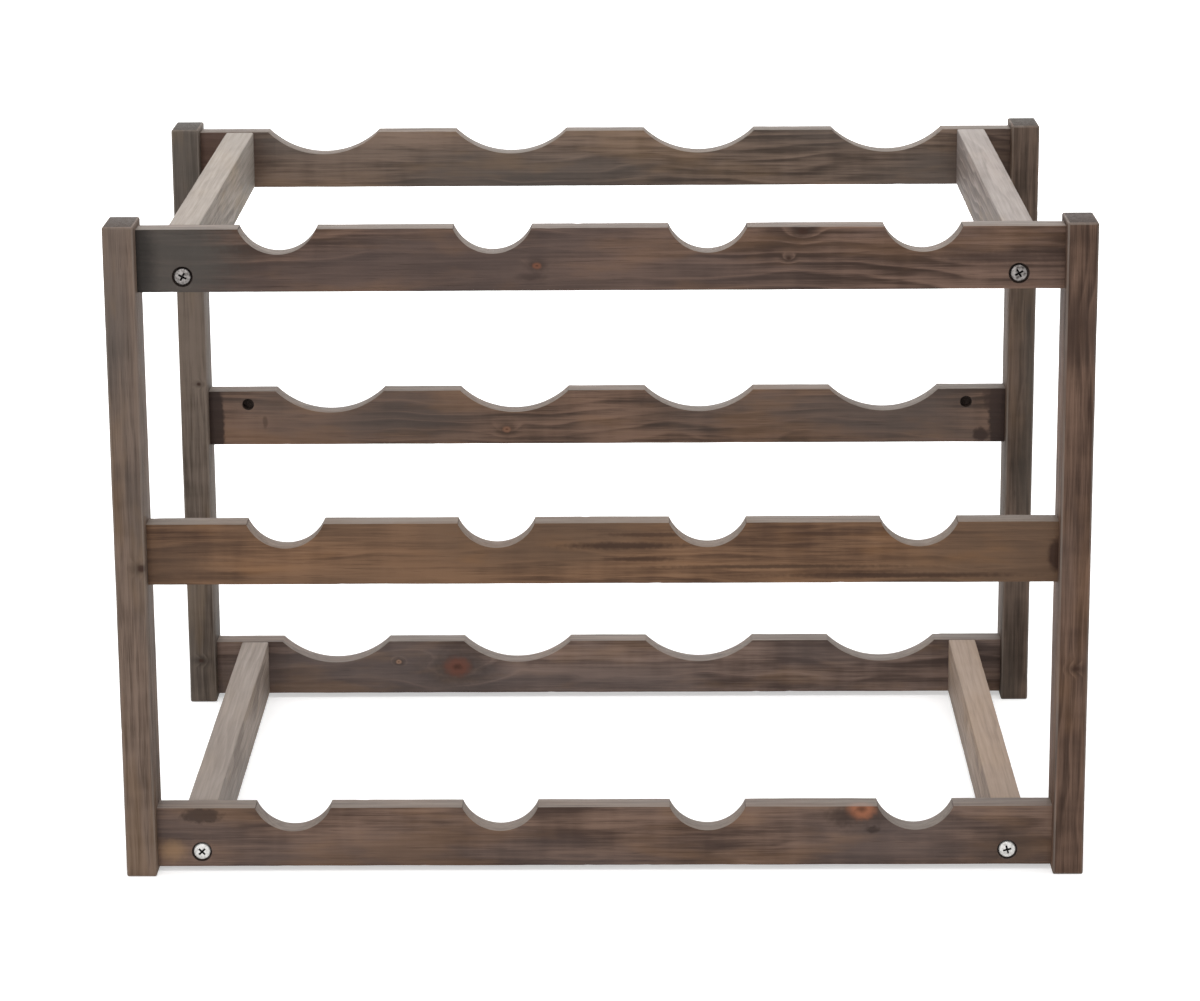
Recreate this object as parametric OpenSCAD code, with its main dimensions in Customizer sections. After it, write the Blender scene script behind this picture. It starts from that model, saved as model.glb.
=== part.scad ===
/* Twelve-bottle wooden wine rack.
   Two ladder frames, each of two posts and three scalloped rails, stand one
   behind the other and are tied by four crossbars.  The front rails have small
   round notches for bottle necks, the rear rails wide shallow ones for bodies.
   Rails meet the posts on glued dowels.  Each crossbar end has a wood screw driven
   through the rail and a dowel above it, so the rack comes apart into its frames.
   The middle rear rail has the same two dowel holes and they stay empty.
   Origin: centre of the footprint on the floor.  +X right, +Y back, +Z up. */

/* [Bottle layout] */
// Bottles side by side on each tier
columns = 4; // [2:1:6]
// Distance between neighbouring bottles
bottle_pitch = 95.5; // [85:0.5:130]
// From the post to the middle of the first bottle
end_land = 62.75; // [58:0.25:100]
// Height from one tier to the next
tier_pitch = 135.75; // [100:0.25:200]
// Depth over the posts, front to back
rack_d = 275; // [180:1:320]

/* [Posts] */
// Width of a post, seen from the front
post_w = 14; // [11:0.5:30]
// Depth of a post, front to back
post_d = 25; // [17:0.5:40]
// How far the posts stand proud of the top and bottom rails
post_overhang = 2.5; // [1:0.25:20]
// Sanded edge on posts, rails and crossbars
eased_edge = 0.7; // [0.3:0.1:1.5]

/* [Rails] */
// Height of a rail
rail_h = 28.5; // [23:0.5:50]
// Thickness of a rail
rail_t = 11; // [9:0.5:16]
// Radius of a neck notch in a front rail
neck_r = 19; // [15:0.5:24]
// Depth of a neck notch
neck_depth = 11.5; // [8:0.5:14]
// Radius of a body notch in a rear rail
body_r = 40; // [33:0.5:50]
// Depth of a body notch
body_depth = 11.5; // [8:0.5:14]

/* [Crossbars] */
// Thickness of a crossbar, side to side
bar_w = 14; // [11:0.5:18]
// Gap between a post and the crossbar beside it
bar_inset = 13.25; // [11:0.25:15]

/* [Screws] */
// Screw hole through a rail
screw_hole_d = 6; // [4.8:0.1:7]
// Diameter of the recess that a screw head sits in
recess_d = 9.4; // [8.6:0.1:12]
// Depth of that recess
recess_depth = 2.5; // [2:0.1:4]
// From the rail's underside to the screw's middle
screw_edge = 7; // [6.2:0.1:9]
// Head diameter
head_d = 7.8; // [7.2:0.1:8.4]
// Head height
head_h = 2.2; // [1.8:0.1:2.6]
// Thread diameter
thread_d = 4; // [3.4:0.1:4.6]
// Diameter of the core between the threads
core_d = 2.7; // [2.2:0.1:3]
// Length under the head
screw_l = 35; // [28:1:45]

/* [Dowels] */
// Diameter of a dowel
dowel_d = 6; // [5:0.25:7]
// From the rail's edge to the dowel's middle
dowel_edge = 6.75; // [5:0.25:8]
// Length of a dowel inside the rail
dowel_in_rail = 12; // [10:0.5:14]
// Wood left in the post behind a dowel hole
dowel_backing = 5.5; // [3.5:0.25:7]
// From a rail's top to the middle of the dowel in a crossbar's end
bar_dowel_edge = 7; // [5:0.25:8]
// Wood left in the rail behind that dowel's hole
bar_dowel_backing = 3.5; // [2.5:0.25:5]
// Length of that dowel inside the crossbar
dowel_in_bar = 14; // [10:0.5:20]

/* [Hidden] */
$fn = 64;
// Glue line between a dowel and its hole
glue_gap = 0.05;
// Free space past the end of a dowel or of a screw
end_gap = 0.5;
// Cutters reach this far past the face that they open
cut = 1;
thread_clear = 0.05;
thread_pitch = 1.8;
thread_crest = 0.25;
tip_l = 4.5;
tip_d = 0.5;
shank_l = 9;
drive_span = 4.4;
drive_w = 0.95;
drive_depth = 1.5;
dome_h = 0.9;
dome_steps = 6;

tiers = ["bottom", "middle", "top"];
rail_l = 2 * end_land + (columns - 1) * bottle_pitch;
rack_w = rail_l + 2 * post_w;
rack_h = 2 * post_overhang + (len(tiers) - 1) * tier_pitch + rail_h;
post_x = (rail_l + post_w) / 2;
post_y = (rack_d - post_d) / 2;
rail_inner_y = post_y - rail_t / 2;
bar_l = 2 * rail_inner_y;
bar_x = rail_l / 2 - bar_inset - bar_w / 2;
dowel_in_post = post_w - dowel_backing - end_gap;
bar_dowel_hole = rail_t - bar_dowel_backing;
bar_dowel_z = rail_h - bar_dowel_edge;

stain = [0.40, 0.31, 0.25];
pale_stain = [0.52, 0.46, 0.41];
beech = [0.78, 0.63, 0.45];
zinc = [0.75, 0.75, 0.74];

// Height of the underside of a tier's rails, tier 0 being the lowest.
function rail_z(tier) = post_overhang + tier * tier_pitch;

// X of each bottle on a tier.
bottle_xs = [for (i = [0 : columns - 1]) (i - (columns - 1) / 2) * bottle_pitch];

// Height of the two dowels in a rail's end, from the rail's underside.
dowel_zs = [dowel_edge, rail_h - dowel_edge];

// A rectangle a by b, centred, with its corners eased.
module eased_section(a, b) {
    e = eased_edge;
    polygon([
        [e - a / 2, -b / 2], [a / 2 - e, -b / 2],
        [a / 2, e - b / 2], [a / 2, b / 2 - e],
        [a / 2 - e, b / 2], [e - a / 2, b / 2],
        [-a / 2, b / 2 - e], [-a / 2, e - b / 2]
    ]);
}

// A bar along Z on the origin, eased along its four long edges.
module eased_bar(a, b, length)
    linear_extrude(length) eased_section(a, b);

// A bar along Z whose end edges are eased as well.
module eased_post(a, b, length)
    intersection() {
        eased_bar(a, b, length);
        translate([0, b / 2, length / 2]) rotate([90, 0, 0])
            eased_bar(a, length, b);
        translate([-a / 2, 0, length / 2]) rotate([90, 0, 90])
            eased_bar(b, length, a);
    }

// The dowels of one joint, or the holes for them, pointing along +X from x = 0.
module dowel_set(d, start, end)
    for (z = dowel_zs)
        translate([start, 0, z]) rotate([0, 90, 0])
            cylinder(d = d, h = end - start);

// A post standing at the origin with its blind dowel holes on the +X face.
module post()
    difference() {
        eased_post(post_w, post_d, rack_h);
        for (tier = [0 : len(tiers) - 1])
            translate([post_w / 2, 0, rail_z(tier)])
                dowel_set(dowel_d + 2 * glue_gap, dowel_backing - post_w, cut);
    }

// side is -1 or 1 along X; row is -1 for the front frame and 1 for the rear one.
module placed_post(side, row)
    color(stain)
        translate([side * post_x, row * post_y, 0])
            mirror([side > 0 ? 1 : 0, 0, 0]) post();

// A hole for a crossbar's screw with the recess for its head, along +Y,
// the inner face of the rail being at y = 0.
module screw_passage() {
    translate([0, -cut, 0]) rotate([-90, 0, 0])
        cylinder(d = screw_hole_d, h = rail_t + 2 * cut);
    translate([0, rail_t - recess_depth, 0]) rotate([-90, 0, 0])
        cylinder(d = recess_d, h = recess_depth + cut);
}

// The blind hole for a crossbar's dowel in a rail's inner face at y = 0.
module dowel_socket()
    translate([0, -cut, 0]) rotate([-90, 0, 0])
        cylinder(d = dowel_d + 2 * glue_gap, h = cut + bar_dowel_hole);

// A rail along X.  Its inner face is at y = 0 and its outer face at y = rail_t.
// screwed says whether a crossbar is screwed to it, doweled whether it has sockets.
module rail(notch_r, notch_depth, screwed, doweled)
    difference() {
        translate([-rail_l / 2, rail_t / 2, rail_h / 2]) rotate([90, 0, 90])
            eased_bar(rail_t, rail_h, rail_l);
        for (x = bottle_xs)
            translate([x, -cut, rail_h - notch_depth + notch_r]) rotate([-90, 0, 0])
                cylinder(r = notch_r, h = rail_t + 2 * cut, $fn = 160);
        for (side = [0, 1]) mirror([side, 0, 0])
            translate([-rail_l / 2, rail_t / 2, 0])
                dowel_set(dowel_d + 2 * glue_gap, -cut, dowel_in_rail + end_gap);
        for (side = [-1, 1]) {
            if (screwed) translate([side * bar_x, 0, screw_edge]) screw_passage();
            if (doweled) translate([side * bar_x, 0, bar_dowel_z]) dowel_socket();
        }
    }

module front_rail(tier)
    color(stain)
        translate([0, -rail_inner_y, rail_z(tier)]) mirror([0, 1, 0])
            rail(neck_r, neck_depth, tiers[tier] != "middle", tiers[tier] != "middle");

module rear_rail(tier)
    color(stain)
        translate([0, rail_inner_y, rail_z(tier)])
            rail(body_r, body_depth, tiers[tier] != "middle", true);

// A crossbar between the rails of one tier, with a pilot hole and a dowel hole in
// each end.
module crossbar(side, tier)
    color(pale_stain)
        translate([side * bar_x, 0, rail_z(tier)])
            difference() {
                translate([0, bar_l / 2, rail_h / 2]) rotate([90, 0, 0])
                    eased_bar(bar_w, rail_h, bar_l);
                for (row = [-1, 1]) {
                    translate([0, row * (bar_l / 2 + cut), screw_edge])
                        rotate([row * 90, 0, 0])
                            cylinder(
                                d = thread_d + 2 * thread_clear,
                                h = cut + screw_l - (rail_t - recess_depth) + end_gap
                            );
                    translate([0, row * (bar_l / 2 + cut), bar_dowel_z])
                        rotate([row * 90, 0, 0])
                            cylinder(
                                d = dowel_d + 2 * glue_gap,
                                h = cut + dowel_in_bar + end_gap
                            );
                }
            }

// The two dowels of one crossbar, one in each end.
module crossbar_dowels(side, tier)
    color(beech)
        for (row = [-1, 1])
            translate([
                side * bar_x,
                row * (bar_l / 2 + bar_dowel_hole - end_gap),
                rail_z(tier) + bar_dowel_z
            ])
                rotate([row * 90, 0, 0])
                    cylinder(d = dowel_d, h = bar_dowel_hole - end_gap + dowel_in_bar);

// The four dowels of one rail.
module rail_dowels(row, tier)
    color(beech)
        for (side = [0, 1]) mirror([side, 0, 0])
            translate([-rail_l / 2, row * post_y, rail_z(tier)])
                dowel_set(dowel_d, -dowel_in_post, dowel_in_rail);

// Half-section of a screw, radius against height.  The head's seat is at 0
// and the thread runs down to the point.
function thread_rings() =
    let (turns = floor((screw_l - shank_l - tip_l) / thread_pitch))
    [
        for (i = [0 : turns - 1])
            let (z = -shank_l - i * thread_pitch)
            each [
                [core_d / 2, z - thread_pitch * 0.25],
                [thread_d / 2, z - thread_pitch * 0.6],
                [thread_d / 2, z - thread_pitch * 0.6 - thread_crest],
                [core_d / 2, z - thread_pitch]
            ]
    ];

function head_arc() = [
    for (i = [0 : dome_steps])
        let (a = 90 * i / dome_steps)
        [
            head_d / 2 - dome_h * (1 - cos(90 - a)),
            head_h - dome_h * sin(90 - a)
        ]
];

// A pan-head wood screw pointing down, its head's seat on z = 0.
module wood_screw()
    difference() {
        rotate_extrude(convexity = 6)
            polygon(concat(
                [[0, head_h]],
                head_arc(),
                [[head_d / 2, 0], [thread_d / 2, 0], [thread_d / 2, -shank_l]],
                thread_rings(),
                [[core_d / 2, tip_l - screw_l], [tip_d / 2, -screw_l], [0, -screw_l]]
            ));
        for (turn = [45, 135]) rotate(turn)
            translate([-drive_span / 2, -drive_w / 2, head_h - drive_depth])
                cube([drive_span, drive_w, drive_depth + cut]);
    }

// The two screws that hold the crossbars to one rail.
module rail_screws(row, tier)
    color(zinc)
        for (side = [-1, 1])
            translate([
                side * bar_x,
                row * (rail_inner_y + rail_t - recess_depth),
                rail_z(tier) + screw_edge
            ])
                rotate([-row * 90, 0, 0]) wood_screw();

placed_post(-1, -1);  // front_left_post
placed_post(1, -1);  // front_right_post
placed_post(-1, 1);  // rear_left_post
placed_post(1, 1);  // rear_right_post
front_rail(0);  // bottom_front_rail
front_rail(1);  // middle_front_rail
front_rail(2);  // top_front_rail
rear_rail(0);  // bottom_rear_rail
rear_rail(1);  // middle_rear_rail
rear_rail(2);  // top_rear_rail
crossbar(-1, 0);  // bottom_left_crossbar
crossbar(1, 0);  // bottom_right_crossbar
crossbar(-1, 2);  // top_left_crossbar
crossbar(1, 2);  // top_right_crossbar
crossbar_dowels(-1, 0);  // bottom_left_crossbar_dowels
crossbar_dowels(1, 0);  // bottom_right_crossbar_dowels
crossbar_dowels(-1, 2);  // top_left_crossbar_dowels
crossbar_dowels(1, 2);  // top_right_crossbar_dowels
rail_dowels(-1, 0);  // bottom_front_dowels
rail_dowels(-1, 1);  // middle_front_dowels
rail_dowels(-1, 2);  // top_front_dowels
rail_dowels(1, 0);  // bottom_rear_dowels
rail_dowels(1, 1);  // middle_rear_dowels
rail_dowels(1, 2);  // top_rear_dowels
rail_screws(-1, 0);  // bottom_front_screws
rail_screws(-1, 2);  // top_front_screws
rail_screws(1, 0);  // bottom_rear_screws
rail_screws(1, 2);  // top_rear_screws
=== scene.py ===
# The looks of a twelve-bottle wooden wine rack: stained softwood posts, notched rails and
# crossbars, with zinc-plated screws.  Metres, +X right, +Y back, +Z up.
import math
import random

import bmesh
import bpy
from mathutils import Matrix, Vector, noise


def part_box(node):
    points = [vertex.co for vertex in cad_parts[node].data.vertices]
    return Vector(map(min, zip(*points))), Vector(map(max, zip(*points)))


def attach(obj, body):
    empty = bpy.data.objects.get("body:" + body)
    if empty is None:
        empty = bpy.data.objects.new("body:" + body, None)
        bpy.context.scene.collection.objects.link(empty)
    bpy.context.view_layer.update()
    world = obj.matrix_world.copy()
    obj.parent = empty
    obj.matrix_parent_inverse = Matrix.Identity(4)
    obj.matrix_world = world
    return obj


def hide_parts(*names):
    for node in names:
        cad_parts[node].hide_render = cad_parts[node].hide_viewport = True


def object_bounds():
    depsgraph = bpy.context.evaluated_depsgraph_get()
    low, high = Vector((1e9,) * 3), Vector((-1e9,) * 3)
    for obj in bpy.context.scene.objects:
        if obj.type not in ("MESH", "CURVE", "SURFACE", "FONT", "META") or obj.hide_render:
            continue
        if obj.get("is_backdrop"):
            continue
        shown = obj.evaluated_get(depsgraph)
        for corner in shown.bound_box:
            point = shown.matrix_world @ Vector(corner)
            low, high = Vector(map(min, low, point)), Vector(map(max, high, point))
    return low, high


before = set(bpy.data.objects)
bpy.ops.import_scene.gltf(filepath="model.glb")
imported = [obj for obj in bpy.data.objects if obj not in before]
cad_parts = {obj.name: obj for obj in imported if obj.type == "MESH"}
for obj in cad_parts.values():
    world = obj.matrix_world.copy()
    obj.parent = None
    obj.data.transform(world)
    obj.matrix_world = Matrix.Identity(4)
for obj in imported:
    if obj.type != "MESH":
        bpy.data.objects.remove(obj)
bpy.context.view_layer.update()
MM = 0.001


# ---- The studio -----------------------------------------------------------------------
# A pale floor, brighter away from the rack, under broad soft lamps: one overhead, one in
# front, one behind and one on each side.  The camera stands in front and looks down.
def lay(tree, kind, inputs=None, **settings):
    """Adds a node, sets what it does, and fills its inputs with values or links."""
    node = tree.nodes.new("ShaderNode" + kind)
    for name, value in settings.items():
        setattr(node, name, value)
    for name, value in (inputs or {}).items():
        if isinstance(value, bpy.types.NodeSocket):
            tree.links.new(value, node.inputs[name])
        else:
            node.inputs[name].default_value = value
    return node


def shade(red, green, blue):
    """A colour named by its display values, from 0 to 255."""
    def linear(value):
        part = value / 255
        return part / 12.92 if part <= 0.04045 else ((part + 0.055) / 1.055) ** 2.4
    return (linear(red), linear(green), linear(blue), 1.0)


def seen_directly(tree):
    """1 for what the camera sees straight away or through gloss and glass, else 0."""
    path = lay(tree, "LightPath").outputs
    gloss = lay(tree, "Math", {0: path["Is Camera Ray"], 1: path["Is Glossy Ray"]},
                operation="MAXIMUM").outputs[0]
    return lay(tree, "Math", {0: gloss, 1: path["Is Transmission Ray"]},
               operation="MAXIMUM").outputs[0]


view = bpy.context.scene.view_settings
view.view_transform = "Standard"

camera_place = (0.0186, -1.7308, 0.6242)
camera_turn = math.radians(0.68)
camera_tilt = math.radians(-13.74)
camera_roll = math.radians(-0.40)
camera_data = bpy.data.cameras.new("camera")
camera_data.sensor_width = 36
camera_data.lens = 110.6
camera_data.shift_y = -0.1
camera = bpy.data.objects.new("camera", camera_data)
camera.matrix_world = (
    Matrix.Translation(camera_place)
    @ Matrix.Rotation(camera_turn, 4, "Z")
    @ Matrix.Rotation(math.pi / 2 + camera_tilt, 4, "X")
    @ Matrix.Rotation(camera_roll, 4, "Z")
)
bpy.context.collection.objects.link(camera)
bpy.context.scene.camera = camera

world = bpy.data.worlds.new("studio")
world.use_nodes = True
bpy.context.scene.world = world
sky = world.node_tree
sky.nodes.clear()
ambient = lay(sky, "Background", {"Color": (1, 1, 1, 1), "Strength": 0.5}).outputs[0]
white = lay(sky, "Background", {"Color": (1, 1, 1, 1), "Strength": 1.0}).outputs[0]
either = lay(sky, "MixShader", {0: seen_directly(sky), 1: ambient, 2: white}).outputs[0]
lay(sky, "OutputWorld", {"Surface": either})

lamps = (
    ("overhead", (0.1, -0.15, 1.7), 1.8, 21.0),
    ("front", (-0.5, -2.3, 0.9), 1.6, 19.0),
    ("left", (-2.0, 0.2, 0.8), 1.2, 7.0),
    ("right", (2.0, 0.2, 0.8), 1.2, 5.0),
    ("back", (0.0, 2.2, 1.2), 1.6, 10.0),
)
for name, place, across, power in lamps:
    lamp = bpy.data.lights.new(name, "AREA")
    lamp.shape = "SQUARE"
    lamp.size = across
    lamp.energy = power
    holder = bpy.data.objects.new(name, lamp)
    holder.location = place
    aim = Vector((0, 0, 0.15)) - Vector(place)
    holder.rotation_euler = aim.to_track_quat("-Z", "Y").to_euler()
    bpy.context.collection.objects.link(holder)

floor_paint = bpy.data.materials.new("floor_paint")
floor_paint.use_nodes = True
paint = floor_paint.node_tree
paint.nodes.clear()
matt = lay(paint, "BsdfDiffuse", {"Color": (0.8, 0.8, 0.8, 1)}).outputs[0]
from_rack = lay(paint, "TexCoord").outputs["Object"]
from_rack = lay(paint, "VectorMath", {0: from_rack}, operation="LENGTH").outputs["Value"]
lift = lay(paint, "MapRange", {"Value": from_rack, 1: 0.35, 2: 1.3, 3: 0.46, 4: 1.0}).outputs[0]
lift = lay(paint, "Math", {0: seen_directly(paint), 1: lift}, operation="MULTIPLY").outputs[0]
glow = lay(paint, "Emission", {"Color": (1, 1, 1, 1), "Strength": lift}).outputs[0]
both = lay(paint, "AddShader", {0: matt, 1: glow}).outputs[0]
lay(paint, "OutputMaterial", {"Surface": both})

bm = bmesh.new()
bmesh.ops.create_grid(bm, x_segments=1, y_segments=1, size=6)
floor_mesh = bpy.data.meshes.new("floor")
bm.to_mesh(floor_mesh)
bm.free()
floor_mesh.materials.append(floor_paint)
floor = bpy.data.objects.new("floor", floor_mesh)
bpy.context.collection.objects.link(floor)
floor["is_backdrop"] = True


# ---- Posts ----------------------------------------------------------------------------
# Four planed lengths of pine, 14 by 25 mm, wiped with a thin grey-brown stain that takes
# unevenly.  The tops are sawn square and show dark end grain; every edge is sanded.
ARRIS = 0.7 * MM
SLICE = 2.5 * MM
# Turns that bring the grain of a piece onto X.
GRAIN = {"X": (0, 0, 0), "Y": (0, 0, -math.pi / 2), "Z": (0, math.pi / 2, 0)}
PALE_CUTS_AND_LIT_TOPS, WORN, SAWN_AND_HOLE_SHADE = 0, 1, 2


def point_on(node, across, up, side="front"):
    """A point on a piece's front, left, right or top face, by shares of its width and height."""
    low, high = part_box(node)
    size = high - low
    if side == "front":
        return Vector((low.x + across * size.x, low.y, low.z + up * size.z))
    if side == "top":
        return Vector((low.x + up * size.x, low.y + across * size.y, high.z))
    x = low.x if side == "left" else high.x
    return Vector((x, low.y + across * size.y, low.z + up * size.z))


def spot(tree, place, centre, size, soft=0.5, ragged=0.0):
    """1 inside an ellipsoid, 0 outside it.  soft widens its edge and ragged tears it."""
    nearer = lay(tree, "Mapping", {"Vector": place, "Location": centre, "Scale": size},
                 vector_type="TEXTURE").outputs[0]
    reach = lay(tree, "VectorMath", {0: nearer}, operation="LENGTH").outputs["Value"]
    if ragged:
        torn = lay(tree, "TexNoise", {"Vector": place, "Scale": 420, "Detail": 3}).outputs["Fac"]
        reach = lay(tree, "Math", {0: torn, 1: ragged, 2: reach}, operation="MULTIPLY_ADD").outputs[0]
        reach = lay(tree, "Math", {0: reach, 1: ragged / 2}, operation="SUBTRACT").outputs[0]
    return lay(tree, "MapRange", {"Value": reach, 1: 1 + soft, 2: 1 - soft, 3: 0, 4: 1},
               interpolation_type="SMOOTHSTEP").outputs[0]


def stained_pine(name, grain, light, dark, wash, pith, ring=4.5, figure=0.5, pale_and_lit_top_tone=None,
                 knots=(), marks=(), stretch=0.05):
    """Pine under a thin stain.  light and dark are the stain where it took least and most,
    wash is the grey that lies over it in patches, and the optional pale tone goes on worn
    edges, on notch cuts, and on top faces, where it is painted light from above.
    pith is where the heart of the tree lay, in the board's own millimetres."""
    material = bpy.data.materials.new(name)
    material.use_nodes = True
    tree = material.node_tree
    tree.nodes.clear()

    def calc(operation, a, b=0.0, c=0.0):
        return lay(tree, "Math", {0: a, 1: b, 2: c}, operation=operation).outputs[0]

    def tint(fac, one, other, blend="MIX"):
        return lay(tree, "MixRGB", {0: fac, 1: one, 2: other}, blend_type=blend).outputs[0]

    def ramp(value, low, high, start=0.0, end=1.0):
        return lay(tree, "MapRange", {"Value": value, 1: low, 2: high, 3: start, 4: end},
                   interpolation_type="SMOOTHSTEP").outputs[0]

    place = lay(tree, "TexCoord").outputs["Object"]
    board = lay(tree, "Mapping", {"Vector": place, "Rotation": GRAIN[grain],
                                  "Scale": (1000, 1000, 1000), "Location": pith}).outputs[0]

    def fibre(along, across, detail, rough=0.55, shift=0.0):
        drawn = lay(tree, "Mapping", {"Vector": board, "Location": (shift, shift, shift),
                                      "Scale": (along, across, across)}).outputs[0]
        return lay(tree, "TexNoise", {"Vector": drawn, "Scale": 1.0, "Detail": detail,
                                      "Roughness": rough})

    # Growth rings: cones round the heart of the tree that wander a little along the grain.
    wander = lay(tree, "VectorMath", {0: fibre(0.011, 0.03, 2).outputs["Color"],
                                      1: (0.5, 0.5, 0.5)}, operation="SUBTRACT").outputs[0]
    wander = lay(tree, "VectorMath", {0: wander, 1: (0, 16, 16), 2: board},
                 operation="MULTIPLY_ADD").outputs[0]
    cone = lay(tree, "VectorMath", {0: wander, 1: (stretch, 1, 1)}, operation="MULTIPLY").outputs[0]
    turns = lay(tree, "VectorMath", {0: cone}, operation="LENGTH").outputs["Value"]
    turns = calc("DIVIDE", turns, ring)
    for centre, radius, _ in knots:
        pull = spot(tree, place, centre, (radius * 3.4, radius * 2.4, radius * 2.2), soft=0.9)
        turns = calc("MULTIPLY_ADD", pull, 0.9, turns)
    uneven = calc("MULTIPLY", fibre(0.004, 0.06, 2, shift=31).outputs["Fac"], 1.6)
    year = calc("FRACT", calc("ADD", turns, uneven))
    showing = ramp(fibre(0.012, 0.05, 2, shift=19).outputs["Fac"], 0.38, 0.62, 0.15, 1.0)
    late = calc("MULTIPLY", ramp(year, 0.1, 0.86), ramp(year, 1.0, 0.84))
    late = calc("MULTIPLY", late, showing)
    pale_line = calc("MULTIPLY", ramp(year, 0.0, 0.04), ramp(year, 0.16, 0.05))
    pale_line = calc("MULTIPLY", pale_line, showing)

    streaks = fibre(0.022, 0.75, 5, 0.62).outputs["Fac"]
    fine = fibre(0.06, 3.2, 3, 0.6, shift=7).outputs["Fac"]
    cloud = fibre(0.011, 0.045, 3, 0.6, shift=53).outputs["Fac"]
    drift = fibre(0.006, 0.02, 2, 0.5, shift=97).outputs["Fac"]
    curl = fibre(0.10, 0.025, 2, 0.5, shift=11).outputs["Fac"]
    pores = ramp(fibre(0.05, 1.9, 2, 0.5, shift=71).outputs["Fac"], 0.64, 0.74)

    take = calc("MULTIPLY_ADD", cloud, 2.0, -0.6)
    take = calc("MULTIPLY_ADD", calc("SUBTRACT", streaks, 0.5), 1.3, take)
    take = calc("MULTIPLY_ADD", late, figure, take)
    take = calc("MULTIPLY_ADD", calc("SUBTRACT", curl, 0.5), 0.5, take)
    take = calc("MULTIPLY_ADD", calc("SUBTRACT", fine, 0.5), 0.6, take)
    colour = tint(ramp(take, -0.05, 1.1), light, dark)
    colour = tint(ramp(drift, 0.42, 0.66, 0, 0.75), colour, wash)
    warm = (min(1, 1.12 * light[0]), light[1], 0.75 * light[2], 1)
    glow_through = fibre(0.016, 0.06, 3, 0.6, shift=131).outputs["Fac"]
    colour = tint(ramp(glow_through, 0.48, 0.68, 0, 0.32), colour, warm)
    colour = tint(calc("MULTIPLY", pale_line, figure * 0.3), colour,
                  tuple(min(1, 1.5 * part) for part in light[:3]) + (1,))
    colour = tint(calc("MULTIPLY", pores, 0.35), colour, tuple(0.45 * part for part in dark[:3]) + (1,))

    for centre, radius, heart in knots:
        halo = spot(tree, place, centre, (radius * 2.6, radius * 2.2, radius * 1.6), 0.8, 0.9)
        colour = tint(calc("MULTIPLY", halo, 0.5), colour, tuple(0.45 * part for part in dark[:3]) + (1,))
        core = spot(tree, place, centre, (radius * 1.15, radius, radius * 0.9), 0.45, 0.6)
        colour = tint(calc("MULTIPLY", core, 0.85), colour, heart)
        eye = spot(tree, place, centre, (radius * 0.4, radius * 0.4, radius * 0.25), 0.8, 1.2)
        colour = tint(calc("MULTIPLY", eye, 0.6), colour, shade(48, 30, 22))
    for centre, size, paint, strength, soft, ragged in marks:
        blot = spot(tree, place, centre, size, soft, ragged)
        colour = tint(calc("MULTIPLY", blot, strength), colour, paint)

    # Top faces are painted paler, as painted light from above; notch cuts are paler, partly as
    # bare cut wood and partly as that painted light.  Sanded edges show paler lines, sawn ends dark
    # pores, and the insides of the holes take the same dark as painted shade.
    surface = lay(tree, "Attribute", attribute_name="surface").outputs["Vector"]
    kinds = lay(tree, "SeparateXYZ", {0: surface}).outputs
    # The pale tone: bare wood on worn edges and notch cuts, and painted light from above on top faces.
    pale = pale_and_lit_top_tone or shade(142, 133, 125)
    cut_and_lit_top_wood = tint(0.22, pale, colour)
    cut_and_lit_top_wood = tint(calc("MULTIPLY", ramp(streaks, 0.35, 0.75), 0.35), cut_and_lit_top_wood, wash)
    cut_and_lit_top_wood = tint(calc("MULTIPLY", late, 0.08), cut_and_lit_top_wood, dark)
    # Painted light: top faces, and the notch cuts, turn towards the pale wood.
    colour = tint(calc("MULTIPLY", kinds[PALE_CUTS_AND_LIT_TOPS], ramp(cloud, 0.3, 0.65, 0.55, 0.9)), colour, cut_and_lit_top_wood)
    rubbed = calc("MULTIPLY", kinds[WORN], ramp(cloud, 0.35, 0.7, 0.05, 0.4))
    colour = tint(rubbed, colour, pale)
    grit = lay(tree, "TexNoise", {"Vector": board, "Scale": 2.4, "Detail": 3}).outputs["Fac"]
    # Sawn end grain is dark; the same dark is painted into the holes as shade.
    end_grain_and_hole_shade = tint(ramp(grit, 0.35, 0.7), tuple(0.5 * part for part in dark[:3]) + (1,), wash)
    end_grain_and_hole_shade = tint(calc("MULTIPLY", late, 0.4), end_grain_and_hole_shade, dark)
    colour = tint(calc("MULTIPLY", kinds[SAWN_AND_HOLE_SHADE], 0.85), colour, end_grain_and_hole_shade)

    height = calc("MULTIPLY_ADD", fine, 0.55, calc("MULTIPLY", streaks, 0.7))
    height = calc("SUBTRACT", height, calc("MULTIPLY", pores, 0.35))
    height = calc("MULTIPLY_ADD", late, 0.05, height)
    height = calc("MULTIPLY_ADD", calc("MULTIPLY", kinds[SAWN_AND_HOLE_SHADE], grit), 1.2, height)
    relief = lay(tree, "Bump", {"Height": height, "Distance": 0.0003, "Strength": 0.55}).outputs[0]
    sheen = ramp(streaks, 0.3, 0.75, 0.56, 0.72)
    body = lay(tree, "BsdfPrincipled", {"Base Color": colour, "Roughness": sheen,
                                        "Specular IOR Level": 0.14, "Normal": relief})
    lay(tree, "OutputMaterial", {"Surface": body.outputs[0]})
    return material


def blank(node):
    """A squared length of wood that fills the box of a piece."""
    low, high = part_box(node)
    bm = bmesh.new()
    bmesh.ops.create_cube(bm, size=1)
    bmesh.ops.scale(bm, vec=high - low, verts=bm.verts)
    bmesh.ops.translate(bm, vec=(low + high) / 2, verts=bm.verts)
    return bm


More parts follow.
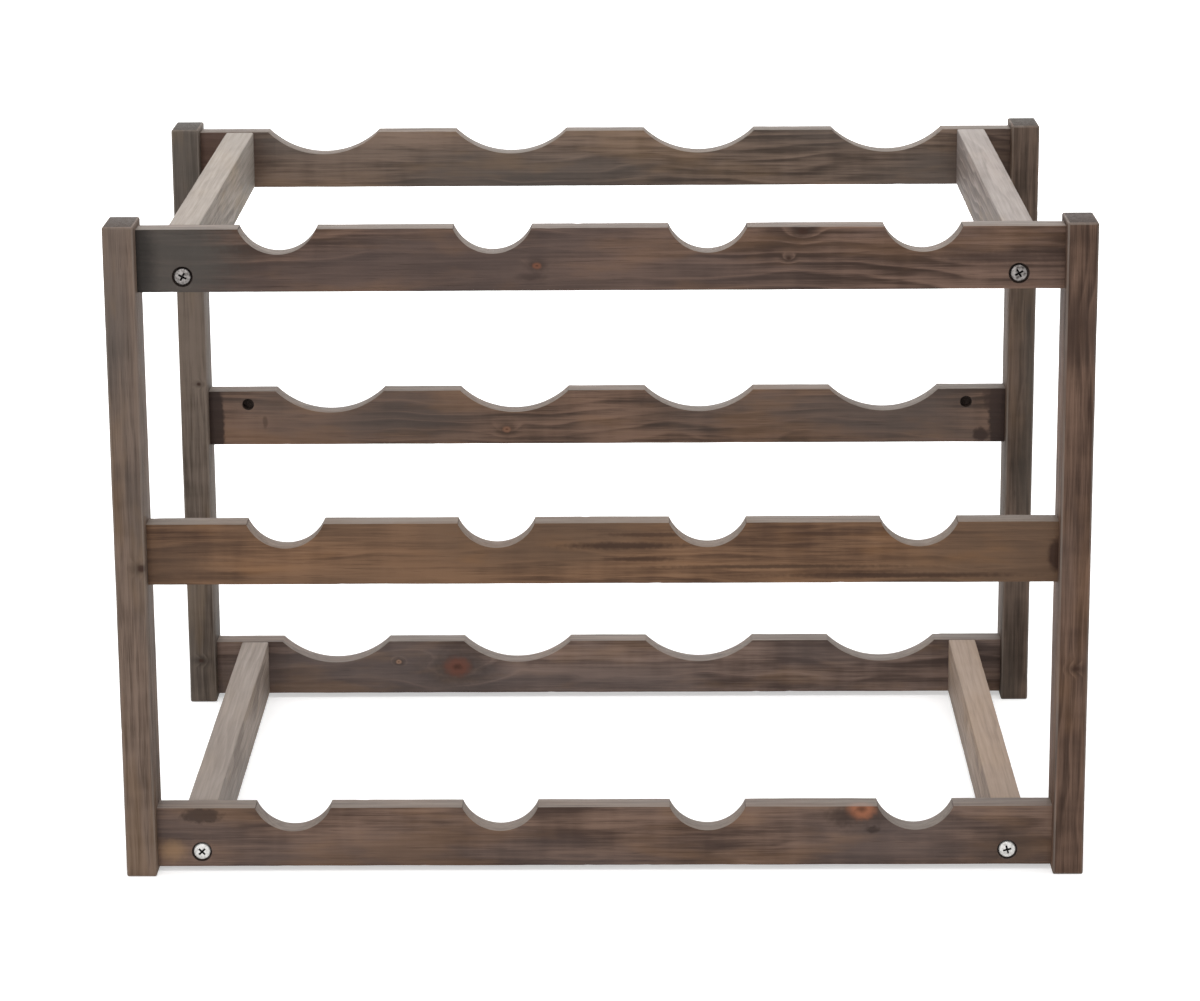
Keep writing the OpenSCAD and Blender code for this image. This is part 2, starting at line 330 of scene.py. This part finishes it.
def planed(bm, grain, rng, arris=ARRIS, dents=6):
    """Slices a piece along its grain, sands its edges, and gives it the small waves and
    dents of handled wood.  Then it marks the faces to paint paler (notch cuts, and top faces as
    painted light from above), the worn edges, and the faces to paint dark (sawn ends, and the
    insides of holes as painted shade)."""
    along = "XYZ".index(grain)
    low = Vector([min(v.co[i] for v in bm.verts) for i in range(3)])
    high = Vector([max(v.co[i] for v in bm.verts) for i in range(3)])
    normal = Vector([float(i == along) for i in range(3)])
    slices = int((high[along] - low[along]) / SLICE)
    for i in range(1, slices):
        at = normal * (low[along] + i * (high[along] - low[along]) / slices)
        bmesh.ops.bisect_plane(bm, geom=bm.verts[:] + bm.edges[:] + bm.faces[:],
                               plane_co=at, plane_no=normal)
    bmesh.ops.remove_doubles(bm, verts=bm.verts, dist=0.02 * MM)
    layer = bm.faces.layers.float_vector.new("surface")
    bm.normal_update()
    for face in bm.faces:
        n = face.normal
        middle = face.calc_center_median()
        # Top faces of rails and crossbars are painted paler below, as painted light from above.
        facing_up = n.z > 0.5 and grain != "Z"
        in_notch = grain == "X" and abs(n.y) < 0.5 and middle.z > low.z + 0.4 * (high.z - low.z)
        in_notch = in_notch and abs(n.x) < 0.95
        inside = low.z + 1 * MM < middle.z < high.z - 1 * MM
        inside = inside and (abs(n.y) < 0.5 or low.y + 1 * MM < middle.y < high.y - 1 * MM)
        # The walls and floors of the screw and dowel holes are painted dark with the sawn ends, as painted
        # shade inside the holes.
        in_hole = grain == "X" and inside and abs(abs(middle.x) - screw_x) < 5 * MM
        pale_cuts_and_lit_tops = (facing_up or in_notch) and not in_hole
        end = abs(n[along]) > 0.9 or in_hole
        face[layer] = Vector((float(pale_cuts_and_lit_tops), 0, float(end)))
    sharp = [e for e in bm.edges if e.is_manifold and e.calc_face_angle() > math.radians(32)]
    made = bmesh.ops.bevel(bm, geom=sharp, offset=arris, offset_type="OFFSET", segments=2,
                           profile=0.5, affect="EDGES", clamp_overlap=True, material=-1)
    # Sanded edges are marked worn and keep half of the paler tone of the face beside them, painted top light
    # included.
    for face in made["faces"]:
        face[layer] = Vector((face[layer].x * 0.5, 1, 0))
    hits = []
    for _ in range(dents):
        edge_point = Vector([rng.choice((low[i], high[i])) for i in range(3)])
        edge_point[along] = rng.uniform(low[along], high[along])
        hits.append((edge_point, rng.uniform(1.5, 3.5) * MM, rng.uniform(0.1, 0.25) * MM))
    start = Vector((rng.uniform(0, 50), rng.uniform(0, 50), rng.uniform(0, 50)))
    centre = (low + high) / 2
    for v in bm.verts:
        inward = centre - v.co
        inward[along] = 0
        wave = noise.noise(v.co * 45 + start) * 0.12 + noise.noise(v.co * 190 + start) * 0.05
        push = (0.1 + wave) * MM
        for point, reach, depth in hits:
            near = 1 - (v.co - point).length / reach
            if near > 0:
                push += depth * near * near * (3 - 2 * near)
        if inward.length > 0:
            v.co += inward.normalized() * max(push, 0)
    return bm


def fit(bm, name, material, grows_from):
    """Turns a finished bmesh into a piece of the rack that stands for a CAD node."""
    bmesh.ops.triangulate(bm, faces=[f for f in bm.faces if len(f.verts) > 4])
    bmesh.ops.recalc_face_normals(bm, faces=bm.faces)
    mesh = bpy.data.meshes.new(name)
    bm.to_mesh(mesh)
    bm.free()
    for polygon in mesh.polygons:
        polygon.use_smooth = True
    mesh.set_sharp_from_angle(angle=math.radians(26))
    mesh.materials.append(material)
    piece = bpy.data.objects.new(name, mesh)
    bpy.context.collection.objects.link(piece)
    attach(piece, "root")
    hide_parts(grows_from)
    return piece


dark_knot = shade(52, 34, 26)
glue_stain = shade(44, 34, 30)
post_woods = {
    "front_left_post": dict(
        light=shade(118, 100, 88), dark=shade(64, 51, 43), wash=shade(87, 79, 74),
        pith=(40, 26, 9), ring=3.6, figure=0.25,
        knots=[(point_on("front_left_post", 0.88, 0.485), 1.7 * MM, dark_knot)],
    ),
    "front_right_post": dict(
        light=shade(112, 88, 74), dark=shade(55, 40, 32), wash=shade(76, 66, 61),
        pith=(-60, 19, -24), ring=4.4, figure=0.35,
        knots=[(point_on("front_right_post", 0.6, 0.325), 1.2 * MM, dark_knot)],
        marks=[(point_on("front_right_post", 0.3, 0.84), (0.016, 0.01, 0.012), shade(64, 48, 40),
                0.5, 0.7, 0.5)],
    ),
    "rear_left_post": dict(
        light=shade(110, 97, 87), dark=shade(58, 49, 42), wash=shade(81, 76, 71),
        pith=(25, -30, 14), ring=3.9, figure=0.25,
        knots=[(point_on("rear_left_post", 0.45, 0.075), 1.1 * MM, dark_knot),
               (point_on("rear_left_post", 0.7, 0.565), 0.9 * MM, dark_knot)],
    ),
    "rear_right_post": dict(
        light=shade(103, 86, 75), dark=shade(53, 43, 36), wash=shade(74, 68, 62),
        pith=(80, -21, -18), ring=4.2, figure=0.25,
    ),
}
for number, (node, wood) in enumerate(post_woods.items()):
    rng = random.Random(100 + number)
    piece = planed(blank(node), "Z", rng, arris=0.9 * MM, dents=7)
    fit(piece, node + "_wood", stained_pine(node + "_stain", "Z", **wood), node)


# ---- Front rails ----------------------------------------------------------------------
# Three pine boards, 11 mm thick, glued and dowelled between the front posts.  Each has four
# round notches bored for bottle necks; the top and bottom ones have sunk screw holes.
def joined(*parts):
    """One mesh object from several bmeshes, for cutting with."""
    mesh = bpy.data.meshes.new("cutter")
    whole = bmesh.new()
    for part in parts:
        part.to_mesh(mesh)
        part.free()
        whole.from_mesh(mesh)
    whole.to_mesh(mesh)
    whole.free()
    holder = bpy.data.objects.new("cutter", mesh)
    bpy.context.collection.objects.link(holder)
    return holder


def cut_away(bm, cutter):
    """Takes the shape of the cutter out of a piece."""
    mesh = bpy.data.meshes.new("uncut")
    bm.to_mesh(mesh)
    bm.free()
    uncut = bpy.data.objects.new("uncut", mesh)
    bpy.context.collection.objects.link(uncut)
    saw = uncut.modifiers.new("saw", "BOOLEAN")
    saw.operation = "DIFFERENCE"
    saw.solver = "EXACT"
    saw.object = cutter
    bpy.context.view_layer.update()
    ready = uncut.evaluated_get(bpy.context.evaluated_depsgraph_get())
    bm = bmesh.new()
    bm.from_mesh(ready.to_mesh())
    ready.to_mesh_clear()
    for used in (uncut, cutter):
        left_over = used.data
        bpy.data.objects.remove(used)
        bpy.data.meshes.remove(left_over)
    return bm


def turned(profile, x, y, z, outward):
    """A round tool lathed from a profile of (radius, distance) steps, with its axis along Y."""
    bm = bmesh.new()
    ends = [bm.verts.new((radius, outward * distance, 0)) for radius, distance in profile]
    for one, other in zip(ends, ends[1:]):
        bm.edges.new((one, other))
    bmesh.ops.spin(bm, geom=bm.verts[:] + bm.edges[:], cent=(0, 0, 0), axis=(0, 1, 0),
                   angle=2 * math.pi, steps=40, use_merge=True)
    bmesh.ops.remove_doubles(bm, verts=bm.verts, dist=0.001 * MM)
    bmesh.ops.recalc_face_normals(bm, faces=bm.faces)
    bmesh.ops.translate(bm, vec=(x, y, z), verts=bm.verts)
    return bm


def notch(x, y, z, radius, thickness, steps):
    """A round bit across a rail, with its axis along Y."""
    bm = bmesh.new()
    bmesh.ops.create_cone(bm, cap_ends=True, segments=steps, radius1=radius, radius2=radius,
                          depth=thickness * 2)
    bmesh.ops.rotate(bm, cent=(0, 0, 0), matrix=Matrix.Rotation(math.pi / 2, 3, "X"), verts=bm.verts)
    bmesh.ops.translate(bm, vec=(x, y, z), verts=bm.verts)
    return bm


BOTTLE_PITCH = 95.5 * MM
NOTCH_DEPTH = 11.5 * MM
SCREW_EDGE, SOCKET_EDGE = 7 * MM, 7 * MM
screw_x = (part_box("bottom_right_crossbar")[0].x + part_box("bottom_right_crossbar")[1].x) / 2


def notched_rail(node, radius, outward, screwed, doweled, rng):
    """A rail with its four notches, and with screw and dowel holes where it has any."""
    low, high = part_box(node)
    middle = (low + high) / 2
    thick = high.y - low.y
    tools = []
    for i in range(4):
        x = (i - 1.5) * BOTTLE_PITCH
        z = high.z - NOTCH_DEPTH + radius
        tools.append(notch(x, middle.y, z, radius, thick, 128))
    hole, recess, sink, socket, spare = 3.0 * MM, 4.7 * MM, 2.5 * MM, 3.05 * MM, 2 * MM
    step, end, floor_of_socket = thick / 2 - sink, thick / 2 + spare, thick / 2 - 3.5 * MM
    passage = [(0, -end), (hole, -end), (hole, step), (recess, step), (recess, end), (0, end)]
    blind = [(0, -end), (socket, -end), (socket, floor_of_socket), (0, floor_of_socket)]
    for x in (-screw_x, screw_x):
        if screwed:
            tools.append(turned(passage, x, middle.y, low.z + SCREW_EDGE, outward))
        if doweled:
            tools.append(turned(blind, x, middle.y, high.z - SOCKET_EDGE, outward))
    return planed(cut_away(blank(node), joined(*tools)), "X", rng, dents=6)


NECK_RADIUS = 19 * MM
red_knot = shade(112, 72, 54)
front_woods = {
    "bottom_front_rail": dict(
        light=shade(125, 101, 87), dark=shade(64, 49, 42), wash=shade(87, 76, 73),
        pith=(60, -14, -12), ring=5.6, figure=0.4, stretch=0.14,
        knots=[(point_on("bottom_front_rail", 0.787, 0.95), 5.2 * MM, shade(150, 96, 70))],
        marks=[
            (point_on("bottom_front_rail", 0.05, 0.86), (0.009, 0.004, 0.0034), glue_stain, 0.7, 0.3, 1.1),
            (point_on("bottom_front_rail", 0.016, 0.27), (0.0055, 0.004, 0.0045), shade(158, 126, 92),
             0.45, 0.7, 0.8),
            (point_on("bottom_front_rail", 0.80, 0.6), (0.003, 0.003, 0.0016), glue_stain, 0.7, 0.4, 1.2),
            (point_on("bottom_front_rail", 0.765, 0.82), (0.006, 0.004, 0.004), glue_stain, 0.5, 0.6, 0.8),
            (point_on("bottom_front_rail", 0.95, 0.3), (0.014, 0.004, 0.007), shade(66, 54, 47),
             0.5, 0.7, 0.4),
        ],
    ),
    "middle_front_rail": dict(
        light=shade(124, 94, 71), dark=shade(65, 46, 35), wash=shade(89, 70, 56),
        pith=(-140, 22, -26), ring=5.0, figure=0.3, stretch=0.06,
        marks=[
            (point_on("middle_front_rail", 0.525, 0.62), (0.026, 0.004, 0.0016), shade(50, 34, 26),
             0.8, 0.5, 0.9),
            (point_on("middle_front_rail", 0.555, 0.80), (0.020, 0.004, 0.0010), shade(56, 38, 28),
             0.7, 0.5, 0.9),
            (point_on("middle_front_rail", 0.545, 0.40), (0.014, 0.004, 0.0011), shade(56, 38, 28),
             0.7, 0.5, 0.9),
            (point_on("middle_front_rail", 0.70, 0.27), (0.05, 0.004, 0.0009), shade(56, 40, 30),
             0.75, 0.6, 0.9),
            (point_on("middle_front_rail", 0.82, 0.12), (0.05, 0.004, 0.0011), shade(52, 36, 28),
             0.75, 0.6, 0.9),
            (point_on("middle_front_rail", 0.999, 0.45), (0.0042, 0.004, 0.0075), shade(48, 31, 24),
             0.85, 0.3, 0.5),
            (point_on("middle_front_rail", 0.02, 0.3), (0.018, 0.004, 0.009), shade(72, 56, 46),
             0.6, 0.7, 0.5),
        ],
    ),
    "top_front_rail": dict(
        light=shade(114, 91, 79), dark=shade(55, 41, 34), wash=shade(76, 64, 60),
        pith=(30, 16, 30), ring=6.2, figure=0.5, stretch=0.24,
        knots=[(point_on("top_front_rail", 0.432, 0.40), 1.6 * MM, red_knot),
               (point_on("top_front_rail", 0.718, 0.93), 1.9 * MM, dark_knot),
               (point_on("top_front_rail", 0.703, 0.50), 0.8 * MM, dark_knot)],
        marks=[
            (point_on("top_front_rail", 0.03, 0.5), (0.030, 0.006, 0.022), shade(72, 68, 64), 0.85, 0.5, 0.5),
            (point_on("top_front_rail", 0.002, 0.5), (0.007, 0.006, 0.03), shade(40, 37, 35), 0.8, 0.6, 0.4),
            (point_on("top_front_rail", 0.93, 0.5), (0.030, 0.004, 0.0024), shade(52, 39, 34), 0.6, 0.7, 0.7),
            (point_on("top_front_rail", 0.425, 0.22), (0.006, 0.004, 0.0016), glue_stain, 0.5, 0.6, 0.8),
        ],
    ),
}
for number, (node, wood) in enumerate(front_woods.items()):
    rng = random.Random(200 + number)
    drilled = not node.startswith("middle")
    piece = notched_rail(node, NECK_RADIUS, -1, drilled, drilled, rng)
    fit(piece, node + "_wood", stained_pine(node + "_stain", "X", **wood), node)


# ---- Rear rails -----------------------------------------------------------------------
# Three more boards between the rear posts, with wide shallow notches for bottle bodies.  All
# have blind dowel holes on the inner side; on the middle one these stay empty.
BODY_RADIUS = 40 * MM
rear_woods = {
    "bottom_rear_rail": dict(
        light=shade(131, 110, 99), dark=shade(67, 53, 47), wash=shade(92, 82, 79),
        pith=(10, -18, 22), ring=5.0, figure=0.5,
        knots=[(point_on("bottom_rear_rail", 0.307, 0.5), 5.5 * MM, shade(104, 66, 54)),
               (point_on("bottom_rear_rail", 0.232, 0.6), 1.2 * MM, shade(150, 118, 98))],
    ),
    "middle_rear_rail": dict(
        light=shade(122, 97, 82), dark=shade(61, 48, 41), wash=shade(84, 74, 69),
        pith=(-90, 20, 20), ring=4.6, figure=0.45,
        knots=[(point_on("middle_rear_rail", 0.374, 0.27), 1.7 * MM, shade(128, 92, 72))],
        marks=[
            (point_on("middle_rear_rail", 0.002, 0.4), (0.0068, 0.004, 0.026), shade(46, 36, 33),
             0.9, 0.12, 0.3),
            (point_on("middle_rear_rail", 0.996, 0.5), (0.0066, 0.004, 0.03), shade(48, 38, 35),
             0.9, 0.15, 0.5),
            (point_on("middle_rear_rail", 0.985, 0.84), (0.0050, 0.004, 0.0075), shade(58, 45, 40),
             0.8, 0.3, 1.0),
            (point_on("middle_rear_rail", 0.970, 0.14), (0.0040, 0.004, 0.0036), shade(50, 38, 34),
             0.85, 0.3, 0.9),
            (point_on("middle_rear_rail", 0.07, 0.42), (0.0012, 0.004, 0.003), glue_stain, 0.4, 0.5, 0.8),
        ],
    ),
    "top_rear_rail": dict(
        light=shade(123, 104, 91), dark=shade(62, 51, 44), wash=shade(86, 78, 73),
        pith=(120, -24, -20), ring=4.9, figure=0.45,
        marks=[
            (point_on("top_rear_rail", 0.02, 0.6), (0.020, 0.005, 0.02), shade(74, 48, 38), 0.6, 0.6, 0.5),
            (point_on("top_rear_rail", 0.98, 0.5), (0.018, 0.005, 0.02), shade(66, 50, 44), 0.5, 0.6, 0.5),
        ],
    ),
}
for number, (node, wood) in enumerate(rear_woods.items()):
    rng = random.Random(300 + number)
    piece = notched_rail(node, BODY_RADIUS, 1, not node.startswith("middle"), True, rng)
    fit(piece, node + "_wood", stained_pine(node + "_stain", "X", **wood), node)


# ---- Crossbars ------------------------------------------------------------------------
# Four plain bars from front rail to rear rail, held by one screw at each end.  They took the
# stain thinly, so they look paler than the rest; their tops are painted paler still, as painted
# light and sheen from above.
bar_woods = {
    "bottom_left_crossbar": dict(
        light=shade(146, 133, 123), dark=shade(108, 96, 87), wash=shade(128, 119, 112),
        pith=(20, 17, -16), ring=4.2, figure=0.5, pale_and_lit_top_tone=shade(158, 147, 139),
    ),
    "bottom_right_crossbar": dict(
        light=shade(152, 134, 120), dark=shade(112, 94, 81), wash=shade(132, 118, 107),
        pith=(-30, 22, -12), ring=4.6, figure=0.45, pale_and_lit_top_tone=shade(166, 146, 130),
    ),
    "top_left_crossbar": dict(
        light=shade(148, 137, 127), dark=shade(106, 96, 87), wash=shade(128, 121, 114),
        pith=(60, -17, 15), ring=4.4, figure=0.45, pale_and_lit_top_tone=shade(168, 158, 149),
        marks=[(point_on("top_left_crossbar", 0.9, 0.5), (0.005, 0.014, 0.018), shade(100, 98, 90),
                0.4, 0.7, 0.4)],
    ),
    "top_right_crossbar": dict(
        light=shade(146, 134, 127), dark=shade(104, 93, 87), wash=shade(128, 120, 116),
        pith=(-100, -9, 20), ring=5.0, figure=0.7, pale_and_lit_top_tone=shade(164, 155, 149),
    ),
}
for number, (node, wood) in enumerate(bar_woods.items()):
    rng = random.Random(400 + number)
    piece = planed(blank(node), "Y", rng, dents=6)
    fit(piece, node + "_wood", stained_pine(node + "_stain", "Y", **wood), node)


# ---- Dowels ---------------------------------------------------------------------------
# Bare beech pegs, two in each rail end and one in each crossbar end.  They lie out of sight,
# glued half into one piece and half into the next.
beech = bpy.data.materials.new("bare_beech")
beech.use_nodes = True
tree = beech.node_tree
tree.nodes.clear()
place = lay(tree, "TexCoord").outputs["Object"]
drawn = lay(tree, "Mapping", {"Vector": place, "Scale": (60, 2600, 2600)}).outputs[0]
fleck = lay(tree, "TexNoise", {"Vector": drawn, "Scale": 1.0, "Detail": 4}).outputs["Fac"]
tone = lay(tree, "MixRGB", {0: fleck, 1: shade(214, 178, 136), 2: shade(176, 132, 90)}).outputs[0]
relief = lay(tree, "Bump", {"Height": fleck, "Distance": 0.0002, "Strength": 0.5}).outputs[0]
body = lay(tree, "BsdfPrincipled", {"Base Color": tone, "Roughness": 0.7, "Normal": relief})
lay(tree, "OutputMaterial", {"Surface": body.outputs[0]})
for node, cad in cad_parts.items():
    if node.endswith("_dowels"):
        cad.data.materials.clear()
        cad.data.materials.append(beech)


# ---- Screws ---------------------------------------------------------------------------
# Cross-head wood screws, 4 mm thick, driven through the rails into the ends of the
# crossbars.  The heads sit in their recesses; the bottom front pair is bright, the rest worn.
def zinc(name, bright, dull, rough, metal):
    """Zinc plating on steel, with fine scratches and duller stains; the faces of the cross recess are painted
    near black as shade.
    """
    material = bpy.data.materials.new(name)
    material.use_nodes = True
    tree = material.node_tree
    tree.nodes.clear()
    place = lay(tree, "TexCoord").outputs["Object"]
    cloud = lay(tree, "TexNoise", {"Vector": place, "Scale": 700, "Detail": 4}).outputs["Fac"]
    patch = lay(tree, "MapRange", {"Value": cloud, 1: 0.42, 2: 0.7}).outputs[0]
    colour = lay(tree, "MixRGB", {0: patch, 1: bright, 2: dull}).outputs[0]
    # Painted shade: the faces of the cross recess turn near black.
    cross_shade = lay(tree, "Attribute", attribute_name="surface").outputs["Vector"]
    cross_shade = lay(tree, "SeparateXYZ", {0: cross_shade}).outputs[0]
    colour = lay(tree, "MixRGB", {0: cross_shade, 1: colour, 2: shade(30, 28, 28)}).outputs[0]
    scuff = lay(tree, "TexNoise", {"Vector": place, "Scale": 2600, "Detail": 3}).outputs["Fac"]
    spread = lay(tree, "MapRange", {"Value": scuff, 1: 0.3, 2: 0.7, 3: rough, 4: rough + 0.15}).outputs[0]
    relief = lay(tree, "Bump", {"Height": scuff, "Distance": 0.00002, "Strength": 0.4}).outputs[0]
    body = lay(tree, "BsdfPrincipled", {"Base Color": colour, "Metallic": metal, "Roughness": spread,
                                        "Normal": relief})
    lay(tree, "OutputMaterial", {"Surface": body.outputs[0]})
    return material


HEAD_R, HEAD_H, SHANK_R, CORE_R = 3.9 * MM, 2.2 * MM, 2 * MM, 1.35 * MM
SCREW_LENGTH, PLAIN, POINT, THREAD = 35 * MM, 9 * MM, 4.5 * MM, 1.8 * MM


def screw_blank():
    """A screw without its cross, head up, with its seat at z = 0."""
    dome = 0.9 * MM
    outline = [(0, HEAD_H)]
    for i in range(1, 9):
        a = math.radians(90 * i / 8)
        outline.append((HEAD_R - dome * (1 - math.sin(a)), HEAD_H - dome * (1 - math.cos(a))))
    outline += [(HEAD_R, 0.25 * MM), (HEAD_R - 0.2 * MM, 0), (SHANK_R, 0), (SHANK_R, -PLAIN)]
    turns = int((SCREW_LENGTH - PLAIN - POINT) / THREAD)
    for i in range(turns):
        z = -PLAIN - i * THREAD
        outline += [(CORE_R, z - 0.25 * THREAD), (SHANK_R, z - 0.62 * THREAD),
                    (SHANK_R, z - 0.72 * THREAD), (CORE_R, z - THREAD)]
    outline += [(CORE_R, POINT - SCREW_LENGTH), (0, -SCREW_LENGTH)]
    bm = bmesh.new()
    ends = [bm.verts.new((radius, 0, z)) for radius, z in outline]
    for one, other in zip(ends, ends[1:]):
        bm.edges.new((one, other))
    bmesh.ops.spin(bm, geom=bm.verts[:] + bm.edges[:], cent=(0, 0, 0), axis=(0, 0, 1),
                   angle=2 * math.pi, steps=48, use_merge=True)
    bmesh.ops.remove_doubles(bm, verts=bm.verts, dist=0.001 * MM)
    bmesh.ops.recalc_face_normals(bm, faces=bm.faces)
    return bm


def cross_arm(turn):
    """One arm of the cross, wide at the top and narrow below."""
    bm = bmesh.new()
    depth = 2.0 * MM
    bmesh.ops.create_cone(bm, cap_ends=True, segments=4, radius1=0.3 * MM, radius2=1.0 * MM,
                          depth=depth)
    bmesh.ops.rotate(bm, cent=(0, 0, 0), matrix=Matrix.Rotation(math.pi / 4, 3, "Z"), verts=bm.verts)
    bmesh.ops.scale(bm, vec=(3.2, 0.72, 1), verts=bm.verts)
    bmesh.ops.translate(bm, vec=(0, 0, HEAD_H + 0.35 * MM - depth / 2), verts=bm.verts)
    bmesh.ops.rotate(bm, cent=(0, 0, 0), matrix=Matrix.Rotation(turn, 3, "Z"), verts=bm.verts)
    return bm


bright_zinc = zinc("bright_zinc", shade(214, 213, 210), shade(172, 170, 167), 0.40, 0.45)
worn_zinc = zinc("worn_zinc", shade(124, 120, 118), shade(62, 58, 56), 0.26, 0.9)
# How far each head is turned, left then right.
drives = {
    "bottom_front_screws": ((45, 15), bright_zinc),
    "top_front_screws": ((62, 30), worn_zinc),
    "bottom_rear_screws": ((10, 70), worn_zinc),
    "top_rear_screws": ((35, 80), worn_zinc),
}
for node, (turns, plating) in drives.items():
    low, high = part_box(node)
    row = -1 if "front" in node else 1
    seat = low.y + HEAD_H if row < 0 else high.y - HEAD_H
    height = (low.z + high.z) / 2
    pair = bmesh.new()
    for side, turn in zip((-1, 1), turns):
        bm = screw_blank()
        for arm in (0, 90):
            bm = cut_away(bm, joined(cross_arm(math.radians(turn + arm))))
        layer = bm.faces.layers.float_vector.new("surface")
        # The faces of the cross recess are marked for painted shade.
        for face in bm.faces:
            middle = face.calc_center_median()
            shaded_cross = 0.1 * MM < middle.z < HEAD_H - 0.02 * MM and middle.xy.length < 2.4 * MM
            face[layer] = (float(shaded_cross), 0, 0)
        bmesh.ops.rotate(bm, cent=(0, 0, 0), matrix=Matrix.Rotation(-row * math.pi / 2, 3, "X"),
                         verts=bm.verts)
        bmesh.ops.translate(bm, vec=(side * screw_x, seat, height), verts=bm.verts)
        driven = bpy.data.meshes.new("driven")
        bm.to_mesh(driven)
        bm.free()
        pair.from_mesh(driven)
        bpy.data.meshes.remove(driven)
    fit(pair, node + "_steel", plating, node)


low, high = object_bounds()
